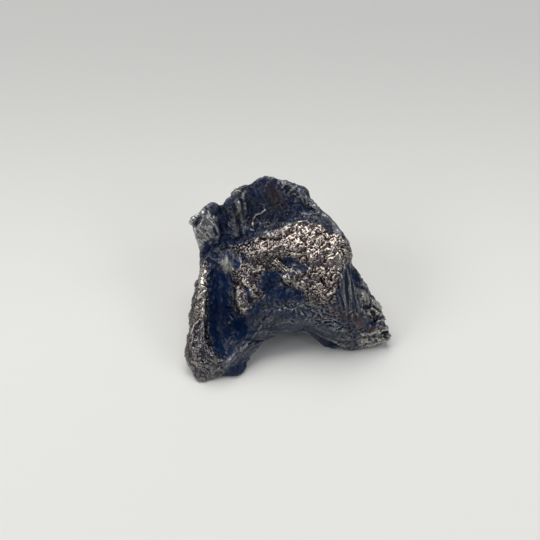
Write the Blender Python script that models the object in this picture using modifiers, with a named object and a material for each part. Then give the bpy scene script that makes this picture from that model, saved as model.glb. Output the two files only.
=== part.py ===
"""Shrapnel fragment of an iron meteorite, one solid piece resting on its own three feet.

The stone is drawn as two nets of landmarks that share one outline: the face net (the side that looks up
and forward) and the under net (the side that looks down and back). Face landmarks are laid out on an
oblique drawing plane tilted VIEW_TILT above the table: (across, up the plane, height above the table).
Lengths are in millimetres until the last step, which scales the solid to metres.
"""

import math
from itertools import chain, pairwise

import bmesh
import bpy
from mathutils import Vector
from mathutils.geometry import delaunay_2d_cdt

MM = 0.001
NODE = "meteorite"
VIEW_TILT = math.radians(50)  # elevation of the oblique drawing plane's line of sight
TILT_SIN = math.sin(VIEW_TILT)
TILT_COS = math.cos(VIEW_TILT)

# How the cage of landmarks becomes a solid
RIM_ROLL_IN = 0.5  # how far the under side starts in from the outline
RIM_ROLL_BACK = 1.7  # how far it starts behind the face
CAGE_LEVELS = 3
VOXEL = 0.35
SOFTEN_STEPS = 3
KEPT_SHARE = 0.136  # of the remeshed triangles
TABLE_SIZE = (200.0, 200.0, 8.0)  # the block under the table plane that cuts the soles flat

# Thumbprint hollows of the under side: (name, kind of noise, size across, reach from hollow to crest)
THUMBPRINTS = ("thumbprints", "VORONOI", 6.5, 3.8)
UNDER_GROUP = "under_side"
# Relief too small for landmarks, in the same form
RELIEF = (
    ("lumps", "CLOUDS", 3.4, 0.55),
    ("dents", "VORONOI", 2.6, -0.35),
    ("grain", "STUCCI", 1.3, 0.22),
)

# Outline of the stone on the drawing plane: (across, up, height), clockwise from the peak of the fin.
OUTLINE = (
    ("peak", -3.9, 39.9, 25.0),
    ("fin_shoulder", -1.4, 39.0, 25.0),
    ("fin_nick", -0.1, 38.4, 24.7),
    ("fin_knuckle", 0.8, 38.7, 24.8),
    ("fin_right_high", 3.0, 37.5, 24.0),
    ("fin_right_mid", 4.7, 35.3, 23.0),
    ("fin_right_low", 5.7, 33.7, 22.0),
    ("saddle_top", 7.6, 32.7, 21.0),
    ("saddle_mid", 8.8, 30.9, 20.0),
    ("saddle_low", 10.1, 29.1, 19.3),
    ("beam_end_back", 10.8, 27.6, 19.0),
    ("beam_end_top", 11.7, 26.8, 18.5),
    ("beam_end", 12.1, 24.8, 17.5),
    ("beam_end_low", 12.0, 23.6, 16.5),
    ("thigh_top", 13.0, 21.8, 14.5),
    ("thigh_mid", 14.3, 20.5, 12.5),
    ("thigh_low", 15.5, 18.4, 10.5),
    ("shin_top", 16.6, 16.3, 8.5),
    ("shin_mid", 17.8, 14.9, 7.0),
    ("flake_tip", 19.1, 12.7, 5.5),
    ("flake_notch", 18.2, 11.8, 5.0),
    ("plate_back", 19.3, 11.0, 4.4),
    ("plate_corner", 20.0, 9.7, 3.4),
    ("plate_tip", 20.1, 8.1, 2.0),
    ("plate_under", 18.6, 7.6, 1.0),
    ("right_sole_outer", 15.9, 6.6, 0.4),
    ("right_sole", 13.0, 6.1, 0.1),
    ("right_sole_inner", 10.1, 6.2, 0.3),
    ("right_heel", 6.7, 6.8, 1.4),
    ("arch_foot_right", 5.5, 7.8, 2.5),
    ("arch_right", 4.5, 9.1, 3.8),
    ("arch_right_high", 3.2, 9.9, 4.8),
    ("arch_crown", 1.4, 9.9, 5.2),
    ("arch_crown_left", -0.7, 9.5, 5.2),
    ("arch_left_high", -3.0, 8.7, 4.6),
    ("arch_left", -4.9, 7.5, 3.6),
    ("arch_left_low", -6.4, 5.9, 2.4),
    ("arch_foot_left", -7.6, 3.9, 1.0),
    ("stub_right", -8.0, 2.4, 0.2),
    ("stub_tip", -9.1, 1.4, -0.3),
    ("stub_left", -10.9, 1.7, 0.0),
    ("left_sole_inner", -13.0, 1.3, 0.5),
    ("left_sole", -14.9, 0.7, 0.1),
    ("left_toe", -16.8, -0.1, -0.3),
    ("left_toe_outer", -18.1, 1.1, 0.4),
    ("left_ball", -18.8, 2.8, 1.4),
    ("left_edge_low", -19.5, 4.9, 2.5),
    ("left_spur", -20.1, 6.1, 3.5),
    ("left_spur_top", -19.4, 7.8, 4.5),
    ("left_edge_mid", -19.1, 10.1, 5.5),
    ("left_edge", -18.9, 12.4, 6.5),
    ("left_edge_high", -18.6, 15.5, 8.0),
    ("left_hip", -18.0, 18.4, 9.5),
    ("left_waist_low", -17.0, 20.9, 11.0),
    ("left_waist", -16.9, 23.2, 12.5),
    ("left_waist_top", -16.8, 25.1, 14.0),
    ("ear_under", -17.7, 27.2, 15.5),
    ("ear_low", -18.3, 28.9, 17.0),
    ("ear_tip", -18.8, 30.9, 18.6),
    ("ear_tip_top", -18.0, 31.9, 19.5),
    ("ear_edge", -16.3, 33.2, 20.5),
    ("ear_crown", -14.5, 34.7, 21.5),
    ("ear_notch", -13.2, 33.9, 21.2),
    ("fin_left_low", -11.6, 35.0, 22.0),
    ("fin_left_mid", -11.1, 36.3, 23.0),
    ("fin_left_high", -9.9, 37.1, 23.5),
    ("fin_left_top", -7.6, 38.2, 24.3),
    ("fin_top", -5.7, 39.3, 24.8),
)

# Landmarks inside the outline on the face net: (across, up, height).
FACE = {
    # the tall fin and its ribs
    "fin_brow": (-3.7, 37.0, 23.4),
    "fin_brow_right": (0.5, 35.1, 21.8),
    "fin_bowl": (-3.7, 34.1, 20.2),
    "fin_bowl_left": (-7.0, 32.2, 18.4),
    "fin_bowl_low": (-0.5, 32.2, 18.7),
    "fin_bowl_right": (3.4, 33.0, 20.5),
    "rib_top": (-8.2, 36.1, 23.0),
    "rib_mid": (-9.5, 33.2, 21.0),
    "rib_low": (-10.7, 30.3, 18.6),
    "ear_gully_top": (-12.4, 32.0, 18.8),
    "ear_gully_low": (-12.4, 28.4, 15.6),
    "ear_face": (-15.9, 30.9, 19.2),
    "ear_face_low": (-14.3, 28.9, 17.6),
    "ear_root": (-16.2, 27.4, 16.2),
    # the valley between fin and beam
    "valley_left": (-15.3, 25.5, 13.4),
    "valley_ear": (-12.6, 26.2, 14.2),
    "valley_mid": (-9.1, 27.2, 15.2),
    "valley_step": (-6.2, 28.2, 16.0),
    "valley_back": (-4.6, 29.6, 17.0),
    "valley_right": (-1.4, 30.5, 17.7),
    "valley_end": (2.4, 31.6, 18.9),
    "valley_rise": (5.3, 32.2, 20.0),
    # the beam: its crest, the ledge behind it and its broad top
    "crest_left": (-12.6, 24.3, 14.0),
    "crest_low": (-10.1, 25.5, 15.7),
    "crest_mid": (-7.2, 26.4, 17.0),
    "crest_high": (-4.3, 27.4, 17.9),
    "crest_back": (-0.9, 27.5, 18.4),
    "ledge_left": (-5.3, 28.7, 17.8),
    "ledge_mid": (-1.4, 29.5, 18.9),
    "ledge_right": (2.4, 31.0, 19.8),
    "ledge_end": (5.6, 31.3, 20.2),
    "top_dip": (6.6, 28.9, 19.7),
    "top_right": (10.1, 27.2, 19.2),
    "top_edge": (11.1, 25.5, 18.4),
    "top_mid": (4.3, 27.4, 19.3),
    "top_front_right": (7.2, 25.5, 18.8),
    "top_front_mid": (4.3, 23.9, 17.6),
    "top_front": (0.5, 25.5, 18.0),
    "top_front_left": (-3.4, 24.9, 17.0),
    "top_left": (-7.2, 23.6, 15.6),
    # the chest below the beam, with its hollows
    "chest_corner": (9.1, 22.0, 17.0),
    "chest_right": (5.3, 21.3, 15.9),
    "dimple": (0.2, 22.9, 14.9),
    "tongue_root": (1.4, 21.2, 16.0),
    "tongue_left": (-0.9, 21.3, 14.6),
    "hollow_top": (-3.2, 20.8, 14.1),
    "tongue_tip": (3.2, 18.7, 14.6),
    "hollow_right": (1.2, 17.3, 11.7),
    "hollow_mid": (-1.2, 18.9, 12.8),
    "hollow_left": (-3.4, 17.6, 11.9),
    "rib_chest": (-6.9, 18.8, 14.3),
    "rib_chest_top": (-8.8, 21.6, 15.2),
    "rib_chest_low": (-8.0, 15.9, 12.6),
    "rib_chest_foot": (-7.9, 13.4, 10.8),
    "chest_front": (7.8, 17.4, 13.8),
    "chest_low": (5.3, 15.9, 12.2),
    "sill_right": (2.4, 15.3, 10.9),
    "sill_mid": (-1.4, 15.3, 10.5),
    "sill_left": (-4.9, 14.9, 10.3),
    # the lip over the arch, and the smooth wall under it
    "lip_left_low": (-7.2, 10.5, 7.4),
    "lip_left": (-6.4, 11.8, 8.3),
    "lip_left_high": (-4.9, 13.4, 9.4),
    "lip_mid": (-1.4, 13.8, 9.7),
    "lip_right": (2.4, 13.0, 9.4),
    "lip_right_low": (6.3, 11.6, 8.1),
    "lip_knee": (9.1, 10.1, 6.5),
    "lip_ankle": (11.1, 8.6, 4.2),
    "wall_left": (-4.9, 10.1, 6.3),
    "wall_mid": (-0.5, 11.6, 7.8),
    "wall_right": (5.5, 9.9, 6.0),
    "wall_slit": (-6.0, 8.0, 4.5),
    "wall_low": (-7.8, 6.2, 4.0),
    # the right leg
    "leg_crest_top": (9.7, 21.3, 16.7),
    "leg_crest_mid": (10.1, 17.8, 14.0),
    "leg_crest_low": (11.6, 14.3, 10.9),
    "leg_crest_end": (13.6, 11.6, 8.0),
    "drawn_face": (12.4, 18.8, 13.0),
    "drawn_face_low": (13.9, 14.9, 9.4),
    "flake_top": (15.1, 16.6, 9.5),
    "flake_side": (15.3, 13.8, 7.6),
    "pocket": (16.4, 12.1, 3.9),
    "flake_root": (17.4, 13.8, 6.8),
    "plate_left": (14.3, 10.1, 5.4),
    "plate_mid": (16.8, 10.2, 4.6),
    "plate_right": (18.7, 10.4, 4.3),
    "plate_front": (15.9, 8.2, 2.6),
    "ankle_front": (12.2, 7.3, 2.2),
    # the left leg
    "shin_crest_top": (-15.3, 23.2, 13.0),
    "shin_crest_high": (-15.7, 20.7, 12.8),
    "shin_crest": (-15.8, 17.8, 12.2),
    "shin_crest_mid": (-16.0, 14.9, 10.8),
    "shin_crest_low": (-16.2, 11.6, 9.2),
    "foot_crest": (-16.2, 8.6, 7.4),
    "foot_crest_low": (-15.2, 6.2, 5.8),
    "foot_rim": (-13.0, 3.9, 4.2),
    "foot_rim_end": (-11.0, 3.9, 3.8),
    "flank_high": (-17.6, 15.9, 9.6),
    "flank_low": (-18.0, 8.2, 6.1),
    "toe_face_outer": (-17.8, 3.9, 3.5),
    "toe_face": (-15.9, 2.8, 3.0),
    # the groove between left leg and chest, and the bowl at its foot
    "groove_head": (-14.0, 22.6, 12.0),
    "groove_top": (-13.2, 20.7, 10.4),
    "groove_mid": (-13.2, 17.8, 8.8),
    "groove_low": (-13.0, 14.9, 7.4),
    "bowl_left": (-13.9, 11.6, 5.6),
    "bowl_right": (-10.7, 11.1, 5.2),
    "bowl_mid": (-9.4, 9.2, 3.9),
    "bowl_low": (-13.0, 8.2, 3.5),
    "bowl_end": (-11.4, 6.2, 2.4),
    "cheek_top": (-11.4, 22.8, 14.1),
    "cheek_high": (-10.4, 20.7, 13.4),
    "cheek_mid": (-10.3, 17.8, 11.8),
    "cheek_low": (-10.1, 14.9, 10.0),
    "bowl_rim": (-8.0, 8.2, 5.9),
    "bowl_rim_low": (-9.5, 5.9, 4.9),
}

# Landmarks of the under net: (x, y, z) with x across, y back from the left toe and z up from the table.
# Those below the table are cut off flat by it, which makes the soles.
UNDER = {
    # behind the fin and the ear
    "nape_peak": (-3.0, 32.4, 21.0),
    "nape_left": (-9.5, 29.6, 18.5),
    "nape_right": (3.0, 30.2, 18.8),
    "nape_saddle": (8.0, 25.6, 15.5),
    "ear_back": (-15.2, 27.0, 16.0),
    # the back: a keel with a thumbprint hollow on each side of it, and a rib beyond each hollow
    "keel_high": (-3.2, 33.3, 16.5),
    "keel_mid": (-4.6, 34.0, 12.0),
    "keel_low": (-5.4, 32.6, 7.0),
    "thumb_left_high": (-8.4, 28.6, 14.5),
    "thumb_left": (-9.0, 27.6, 10.0),
    "rib_left": (-12.8, 28.6, 12.0),
    "rib_left_low": (-12.2, 26.8, 6.0),
    "thumb_right_high": (1.6, 28.8, 14.5),
    "thumb_right": (0.6, 28.2, 9.5),
    "rib_right": (6.2, 28.8, 12.0),
    "rib_right_low": (5.4, 28.6, 6.0),
    "cove_right": (8.8, 22.8, 9.5),
    "back_outer": (11.2, 20.5, 10.0),
    "cove_left": (-13.6, 22.0, 7.0),
    "back_hip": (-15.6, 20.5, 8.0),
    # the hem above the table
    "hem_left": (-11.5, 24.5, 2.5),
    "hem_keel": (-5.5, 30.3, 2.5),
    "hem_right": (4.0, 28.4, 2.5),
    "hem_outer": (9.5, 21.0, 3.0),
    "hem_hip": (-16.2, 14.0, 3.5),
    "hem_leg": (14.5, 15.0, 3.0),
    # the heel at the back
    "heel_left": (-7.0, 25.5, -2.4),
    "heel_back": (-2.0, 28.4, -2.4),
    "heel_right": (4.0, 26.0, -2.4),
    "heel_front": (-1.5, 22.6, -2.0),
    # the vault behind the arch
    "vault_back": (0.0, 17.5, 4.5),
    "vault_mid": (-0.5, 13.0, 6.2),
    "vault_left": (-7.5, 13.5, 4.2),
    "vault_right": (7.0, 14.0, 4.2),
    # under the two legs
    "left_arch": (-12.5, 11.0, 2.2),
    "left_pad": (-15.0, 2.6, -1.2),
    "left_pad_back": (-16.0, 6.0, -0.2),
    "right_pad": (12.0, 10.8, -1.6),
    "right_pad_outer": (16.0, 10.6, -0.8),
}

# Lines that stay edges in the face net, each with how sharp it is, from 0 to 1.
FACE_RIDGES = (
    (0.7, ("crest_left", "crest_low", "crest_mid", "crest_high", "crest_back")),
    (0.5, ("ledge_left", "ledge_mid", "ledge_right", "ledge_end")),
    (0.5, ("valley_left", "valley_ear", "valley_mid", "valley_step", "valley_back", "valley_right")),
    (0.5, ("valley_right", "valley_end")),
    (0.6, ("rib_top", "rib_mid", "rib_low")),
    (0.8, ("bowl_rim_low", "bowl_rim", "lip_left_low", "lip_left", "lip_left_high", "lip_mid")),
    (0.8, ("lip_mid", "lip_right", "lip_right_low", "lip_knee", "lip_ankle")),
    (0.6, ("chest_corner", "leg_crest_top", "leg_crest_mid", "leg_crest_low", "leg_crest_end")),
    (0.6, ("shin_crest_top", "shin_crest_high", "shin_crest", "shin_crest_mid", "shin_crest_low")),
    (0.6, ("shin_crest_low", "foot_crest", "foot_crest_low", "foot_rim", "foot_rim_end")),
    (0.5, ("cheek_top", "cheek_high", "cheek_mid", "cheek_low")),
    (0.8, ("plate_left", "plate_mid", "plate_right")),
    (0.5, ("rib_chest_top", "rib_chest", "rib_chest_low", "rib_chest_foot")),
)
# The same in the under net
UNDER_RIDGES = (
    (0.3, ("nape_peak", "keel_high", "keel_mid", "keel_low", "hem_keel")),
    (0.2, ("ear_back", "rib_left", "rib_left_low", "hem_left")),
    (0.2, ("nape_right", "rib_right", "rib_right_low", "hem_right")),
)
OUTLINE_SHARPNESS = 0.7


def clear_scene():
    for obj in list(bpy.data.objects):
        bpy.data.objects.remove(obj)


def from_drawing(across, up, height):
    """The point (x, y, z) that shows at (across, up) on the oblique plane and stands that high."""
    return Vector((across, (up - height * TILT_COS) / TILT_SIN, height))


def on_drawing(point):
    """Where a point shows on the oblique plane."""
    return Vector((point.x, point.y * TILT_SIN + point.z * TILT_COS))


def net_triangles(points, rim, ridges):
    """Triangles, as names, of the net over the landmarks, inside the rim and along the ridges."""
    names = list(points)
    index = {name: i for i, name in enumerate(names)}
    edges = [(index[a], index[b]) for _, line in ridges for a, b in pairwise(line)]
    flat = [on_drawing(point) for point in points.values()]
    found = delaunay_2d_cdt(flat, edges, [[index[name] for name in rim]], 1, 1e-5)
    faces, origin = found[2], found[3]
    return [[names[origin[i][0]] for i in face] for face in faces]


def rolled_rim(rim, points):
    """A second rim for the under net: each rim point drawn in from the outline and back from the face."""
    rolled = {}
    for before, name, after in zip(rim[-1:] + rim, rim, rim[1:] + rim[:1]):
        along = (on_drawing(points[after]) - on_drawing(points[before])).normalized()
        inward = Vector((along.y, -along.x)) * RIM_ROLL_IN
        place = points[name]
        rolled[name + "_rolled"] = Vector((
            place.x + inward.x,
            place.y + inward.y / TILT_SIN + RIM_ROLL_BACK * TILT_COS,
            place.z - RIM_ROLL_BACK * TILT_SIN,
        ))
    return rolled


def build_cage():
    """The closed cage of landmarks: both nets on one rim, with the ridges creased."""
    rim = [name for name, *_ in OUTLINE]
    points = {name: from_drawing(*place) for name, *place in OUTLINE}
    face_points = points | {name: from_drawing(*place) for name, place in FACE.items()}
    under_points = points | rolled_rim(rim, points) | {name: Vector(place) for name, place in UNDER.items()}
    nets = (
        net_triangles(face_points, rim, FACE_RIDGES),
        net_triangles(under_points, rim, UNDER_RIDGES),
    )
    bm = bmesh.new()
    corners = {name: bm.verts.new(place) for name, place in (face_points | under_points).items()}
    for triangle in chain(*nets):
        bm.faces.new([corners[name] for name in triangle])
    bmesh.ops.recalc_face_normals(bm, faces=bm.faces)
    crease = bm.edges.layers.float.new("crease_edge")
    for sharpness, line in (*FACE_RIDGES, *UNDER_RIDGES, (OUTLINE_SHARPNESS, (*rim, rim[0]))):
        for a, b in pairwise(line):
            bm.edges.get((corners[a], corners[b]))[crease] = sharpness
    bmesh.ops.scale(bm, vec=(MM, MM, MM), verts=bm.verts)
    mesh = bpy.data.meshes.new(NODE)
    bm.to_mesh(mesh)
    bm.free()
    return mesh


def iron():
    """Dark oxidised iron with a dull shine."""
    material = bpy.data.materials.new("meteoritic_iron")
    material.use_nodes = True
    shader = material.node_tree.nodes["Principled BSDF"]
    shader.inputs["Base Color"].default_value = (0.075, 0.073, 0.082, 1.0)
    shader.inputs["Metallic"].default_value = 0.9
    shader.inputs["Roughness"].default_value = 0.42
    return material


def table_cutter(collection):
    """A block whose top is the table plane."""
    bpy.ops.mesh.primitive_cube_add(size=1, location=(0, 0, -TABLE_SIZE[2] / 2 * MM))
    cutter = bpy.context.object
    cutter.name = "table_cutter"
    cutter.scale = [side * MM for side in TABLE_SIZE]
    cutter.hide_render = True
    cutter.display_type = "WIRE"
    for owner in list(cutter.users_collection):
        owner.objects.unlink(cutter)
    collection.objects.link(cutter)
    return cutter


def roughen(stone, name, noise, lump, reach, group=""):
    """Moves the surface, or one group of its points, in and out by a noise with lumps of this size."""
    texture = bpy.data.textures.new(name, noise)
    texture.noise_scale = lump * MM
    relief = stone.modifiers.new(name, "DISPLACE")
    relief.texture = texture
    relief.texture_coords = "LOCAL"
    relief.strength = reach * MM
    relief.mid_level = 0.5
    relief.vertex_group = group


def new_collection(name):
    collection = bpy.data.collections.new(name)
    bpy.context.scene.collection.children.link(collection)
    return collection


def centre_on_origin(stone):
    """Moves the finished stone along the table until the origin is under the middle of its box."""
    finished = stone.evaluated_get(bpy.context.evaluated_depsgraph_get())
    across, along, _ = zip(*finished.bound_box)
    stone.location.x = -(min(across) + max(across)) / 2
    stone.location.y = -(min(along) + max(along)) / 2


def main():
    clear_scene()
    stone = bpy.data.objects.new(NODE, build_cage())
    stone.data.materials.append(iron())
    new_collection("shrapnel_meteorite").objects.link(stone)

    rounding = stone.modifiers.new("rounding", "SUBSURF")
    rounding.levels = CAGE_LEVELS
    rounding.render_levels = CAGE_LEVELS
    under = stone.vertex_groups.new(name=UNDER_GROUP)
    under.add(range(len(stone.data.vertices) - len(UNDER), len(stone.data.vertices)), 1.0, "REPLACE")
    roughen(stone, *THUMBPRINTS, UNDER_GROUP)
    skin = stone.modifiers.new("skin", "REMESH")
    skin.mode = "VOXEL"
    skin.voxel_size = VOXEL * MM
    soften = stone.modifiers.new("soften", "SMOOTH")
    soften.iterations = SOFTEN_STEPS
    for layer in RELIEF:
        roughen(stone, *layer)
    fewer = stone.modifiers.new("fewer_faces", "DECIMATE")
    fewer.ratio = KEPT_SHARE
    soles = stone.modifiers.new("soles", "BOOLEAN")
    soles.operation = "DIFFERENCE"
    soles.object = table_cutter(new_collection("cutters"))
    centre_on_origin(stone)


main()
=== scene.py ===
"""Looks of the shrapnel meteorite: the torn iron stone, the pale table it rests on, and its light."""

import math

import bmesh
import bpy
import numpy as np
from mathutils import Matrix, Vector, noise


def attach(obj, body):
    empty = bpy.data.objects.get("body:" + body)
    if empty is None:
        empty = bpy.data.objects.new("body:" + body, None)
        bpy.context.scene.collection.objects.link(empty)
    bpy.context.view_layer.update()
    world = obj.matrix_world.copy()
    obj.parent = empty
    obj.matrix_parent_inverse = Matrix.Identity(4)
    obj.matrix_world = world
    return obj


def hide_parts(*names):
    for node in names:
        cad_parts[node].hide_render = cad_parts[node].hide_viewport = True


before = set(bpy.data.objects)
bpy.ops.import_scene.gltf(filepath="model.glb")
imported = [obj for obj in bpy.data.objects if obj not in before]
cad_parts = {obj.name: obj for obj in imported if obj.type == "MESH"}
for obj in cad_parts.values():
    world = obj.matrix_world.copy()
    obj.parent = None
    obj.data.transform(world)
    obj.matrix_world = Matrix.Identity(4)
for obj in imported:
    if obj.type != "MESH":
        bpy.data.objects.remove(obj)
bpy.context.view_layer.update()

# ---- The eye ----
# A camera held 35 cm off looks down at the stone, 50 degrees below the horizon. At the stone it sees
# a patch of the table about 10 cm wide.
MM = 0.001
LOOK_DOWN = math.radians(50)
LOOKED_AT = Vector((-3.49, 0.57, 12.0)) * MM
EYE_DISTANCE = 350 * MM
SEEN_WIDTH = 103.85 * MM
NEAREST_SEEN = 10 * MM
towards_eye = Vector((0, -math.cos(LOOK_DOWN), math.sin(LOOK_DOWN)))
eye = bpy.data.objects.new("eye", bpy.data.cameras.new("eye"))
bpy.context.scene.collection.objects.link(eye)
eye.location = LOOKED_AT + towards_eye * EYE_DISTANCE
eye.rotation_euler = (math.pi / 2 - LOOK_DOWN, 0, 0)
eye.data.lens = eye.data.sensor_width * EYE_DISTANCE / SEEN_WIDTH
eye.data.clip_start = NEAREST_SEEN
bpy.context.scene.camera = eye
bpy.context.scene.view_settings.view_transform = "Standard"


# ---- The table ----
# A sheet of painted off-white board, laid flat. It runs on past the edges of the view. Its colour is
# painted greyer towards the back: painted shade for the light that falls off there.
def linear(hex_colour):
    """An sRGB hex colour as linear red, green, blue and alpha."""
    channels = [int(hex_colour[i : i + 2], 16) / 255 for i in (1, 3, 5)]
    return (*[c / 12.92 if c <= 0.04045 else ((c + 0.055) / 1.055) ** 2.4 for c in channels], 1.0)


def add_node(tree, kind, inputs, output=0, **settings):
    """Adds a node and returns one of its outputs.

    inputs holds a number, a hex colour or another node's output for some of its inputs. settings are
    the node's own properties.
    """
    node = tree.nodes.new("ShaderNode" + kind)
    for name, value in settings.items():
        setattr(node, name, value)
    for name, value in inputs.items():
        if isinstance(value, bpy.types.NodeSocket):
            tree.links.new(value, node.inputs[name])
        else:
            node.inputs[name].default_value = linear(value) if isinstance(value, str) else value
    return node.outputs[output] if node.outputs else None


def new_material(name):
    """An empty material, and its node tree."""
    material = bpy.data.materials.new(name)
    material.use_nodes = True
    material.node_tree.nodes.clear()
    return material, material.node_tree


TABLE_SIZE = 3.0
PAINTED_SHADE_FROM = -10 * MM
PAINTED_SHADE_TO = 95 * MM
NEAR_WHITE = "#f1f2f0"
FAR_PAINTED_SHADE = "#c9cac9"
bpy.ops.mesh.primitive_grid_add(x_subdivisions=8, y_subdivisions=8, size=TABLE_SIZE)
table = bpy.context.object
table.name = "table"
# Matt white paint: it scatters the light, so it shows soft shadows and no reflection of the stone
board, tree = new_material("matt_white_board")
place = add_node(tree, "TexCoord", {}, "Object")
along = add_node(tree, "SeparateXYZ", {"Vector": place}, "Y")
# Painted shade: the board's colour goes from near white to grey towards the back
painted_falloff = add_node(tree, "MapRange", {
    "Value": along, "From Min": PAINTED_SHADE_FROM, "From Max": PAINTED_SHADE_TO,
}, interpolation_type="SMOOTHSTEP")
tint = add_node(tree, "Mix", {"Factor": painted_falloff, 6: NEAR_WHITE, 7: FAR_PAINTED_SHADE}, 2, data_type="RGBA")
shader = add_node(tree, "BsdfPrincipled", {"Base Color": tint, "Roughness": 0.8})
add_node(tree, "OutputMaterial", {"Surface": shader})
table.data.materials.append(board)


# ---- The light ----
# A broad soft window light hangs high behind the stone, a little to the left. Four small ones fill in
# from both sides, and the grey room is lighter at the horizon than overhead.
def softbox(name, bearing, elevation, distance, width, height, radiance, colour):
    """A rectangular light that faces the stone. bearing 0 is at the eye's side, 90 to the right."""
    lamp = bpy.data.lights.new(name, "AREA")
    lamp.shape = "RECTANGLE"
    lamp.size = width
    lamp.size_y = height
    lamp.energy = radiance * math.pi * width * height
    lamp.color = linear(colour)[:3]
    holder = bpy.data.objects.new(name, lamp)
    bpy.context.scene.collection.objects.link(holder)
    a, e = math.radians(bearing), math.radians(elevation)
    away = Vector((math.sin(a) * math.cos(e), -math.cos(a) * math.cos(e), math.sin(e)))
    holder.location = away * distance
    holder.rotation_euler = away.to_track_quat("Z", "Y").to_euler()


# name, bearing and elevation in degrees, distance, width and height in metres, radiance, colour
LIGHTS = (
    ("window", 200, 63, 1.5, 1.4, 1.2, 3.05, "#fffcf6"),
    ("left_light", -85, 40, 1.5, 0.5, 0.5, 4.0, "#fffdfa"),
    ("right_light", 85, 40, 1.5, 0.5, 0.5, 2.4, "#fffdfa"),
    ("near_left_light", -55, 35, 1.6, 0.4, 0.4, 3.2, "#fffdfa"),
    ("near_right_light", 55, 35, 1.6, 0.4, 0.4, 2.8, "#fffdfa"),
)
for light in LIGHTS:
    softbox(*light)
AT_THE_HORIZON = "#9d9c99"
OVERHEAD = "#70727a"
OVERHEAD_FROM = 0.6  # of the way up
room = bpy.data.worlds.new("room")
bpy.context.scene.world = room
room.use_nodes = True
tree = room.node_tree
tree.nodes.clear()
aim = add_node(tree, "TexCoord", {}, "Generated")
upward = add_node(tree, "SeparateXYZ", {"Vector": aim}, "Z")
walls = add_node(tree, "MapRange", {
    "Value": upward, "From Min": 0.0, "From Max": OVERHEAD_FROM,
}, interpolation_type="SMOOTHSTEP")
shade = add_node(tree, "Mix", {"Factor": walls, 6: AT_THE_HORIZON, 7: OVERHEAD}, 2, data_type="RGBA")
glow = add_node(tree, "Background", {"Color": shade})
add_node(tree, "OutputWorld", {"Surface": glow})

# ---- The meteorite ----
# A torn splinter of nickel-iron. The blast left the beam, the chest and the left shin with a skin of
# small lumps like orange peel, drew the right leg and the ear out in strands, and left the fin, the
# groove and the wall under the lip smoother. A thin dark oxide covers it, worn off the high spots.
stone_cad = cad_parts["meteorite"]
WELD = 0.001 * MM
VOXEL = 0.14 * MM
SMOOTHINGS = 12


def applied(mesh, *modifiers):
    """A new mesh: this one with (type, settings) modifiers applied in turn."""
    holder = bpy.data.objects.new("applied", mesh)
    bpy.context.scene.collection.objects.link(holder)
    for kind, settings in modifiers:
        modifier = holder.modifiers.new(kind, kind)
        for name, value in settings.items():
            setattr(modifier, name, value)
    evaluated = holder.evaluated_get(bpy.context.evaluated_depsgraph_get())
    finished = bpy.data.meshes.new_from_object(evaluated)
    bpy.data.objects.remove(holder)
    return finished


welded = stone_cad.data.copy()
bm = bmesh.new()
bm.from_mesh(welded)
bmesh.ops.remove_doubles(bm, verts=bm.verts, dist=WELD)
bm.to_mesh(welded)
bm.free()
skin = applied(
    welded,
    ("SUBSURF", {"levels": 1, "render_levels": 1}),
    ("REMESH", {"mode": "VOXEL", "voxel_size": VOXEL}),
    ("SMOOTH", {"iterations": SMOOTHINGS}),
)


def read(mesh, what):
    """One row of three numbers for each vertex."""
    values = np.empty(len(mesh.vertices) * 3, np.float32)
    mesh.vertices.foreach_get(what, values)
    return values.reshape(-1, 3).astype(float)


def smooth_step(value, low, high):
    """0 at low, 1 at high and an eased slope between."""
    t = np.clip((value - low) / (high - low), 0, 1)
    return t * t * (3 - 2 * t)


# The surface: places in mm, the way out of it, where each place shows to the eye in mm across and up,
# and how far it is on the side that faces the eye
places = read(skin, "co") / MM
out = read(skin, "normal")
seen_up = places[:, 1] * math.sin(LOOK_DOWN) + places[:, 2] * math.cos(LOOK_DOWN)
seen = np.column_stack([places[:, 0], seen_up])
facing = out @ np.array(towards_eye)
front = smooth_step(facing, -0.15, 0.25)
back = 1 - front


def path_distance(path):
    """How far each seen place is from a path of (across, up) points."""
    nearest = np.full(len(seen), np.inf)
    points = np.array(path, float)
    for a, b in zip(points, points[1:]):
        along = np.clip(((seen - a) @ (b - a)) / ((b - a) @ (b - a)), 0, 1)
        nearest = np.minimum(nearest, np.linalg.norm(seen - a - along[:, None] * (b - a), axis=1))
    return nearest


def stroke(width, *path):
    """1 on the path, falling to 0 at half its width."""
    return front * smooth_step(path_distance(path), width / 2, 0)


def zone(soft, *corners):
    """1 inside the outline, 0 outside, with a soft edge."""
    inside = np.zeros(len(seen), bool)
    x, up = seen.T
    for (ax, au), (bx, bu) in zip(corners, corners[1:] + corners[:1]):
        crosses = (au > up) != (bu > up)
        inside ^= crosses & (x < ax + (up - au) / (bu - au + 1e-9) * (bx - ax))
    distance = path_distance(corners + corners[:1]) * np.where(inside, 1, -1)
    return front * smooth_step(distance, -soft / 2, soft / 2)


def noise_field(wave, shift=0.0, at=None):
    """Smooth noise from about -0.7 to 0.7, with this distance between its lumps."""
    spots = (places if at is None else at) / wave + shift
    return np.array([noise.noise(spot) for spot in spots.tolist()])


def bent_noise(wave, shift=0.0):
    """Noise whose lumps are bent by a coarser noise, so that they wind."""
    bend = np.column_stack([noise_field(wave * 1.3, shift + 10 * k) for k in (1, 2, 3)])
    return noise_field(wave, shift, places + bend * wave * 0.9)


def worms(wave, shift=0.0):
    """1 along winding ridges this far apart, and about -1 in the pits between them."""
    return 1 - 3.4 * np.abs(bent_noise(wave, shift))


def lumpy(wave, shift=0.0):
    """Up to about 0.5 on rounded lumps this wide, and -0.8 in the narrow creases between them."""
    return 1.6 * np.abs(bent_noise(wave, shift)) ** 0.5 - 0.8


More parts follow.
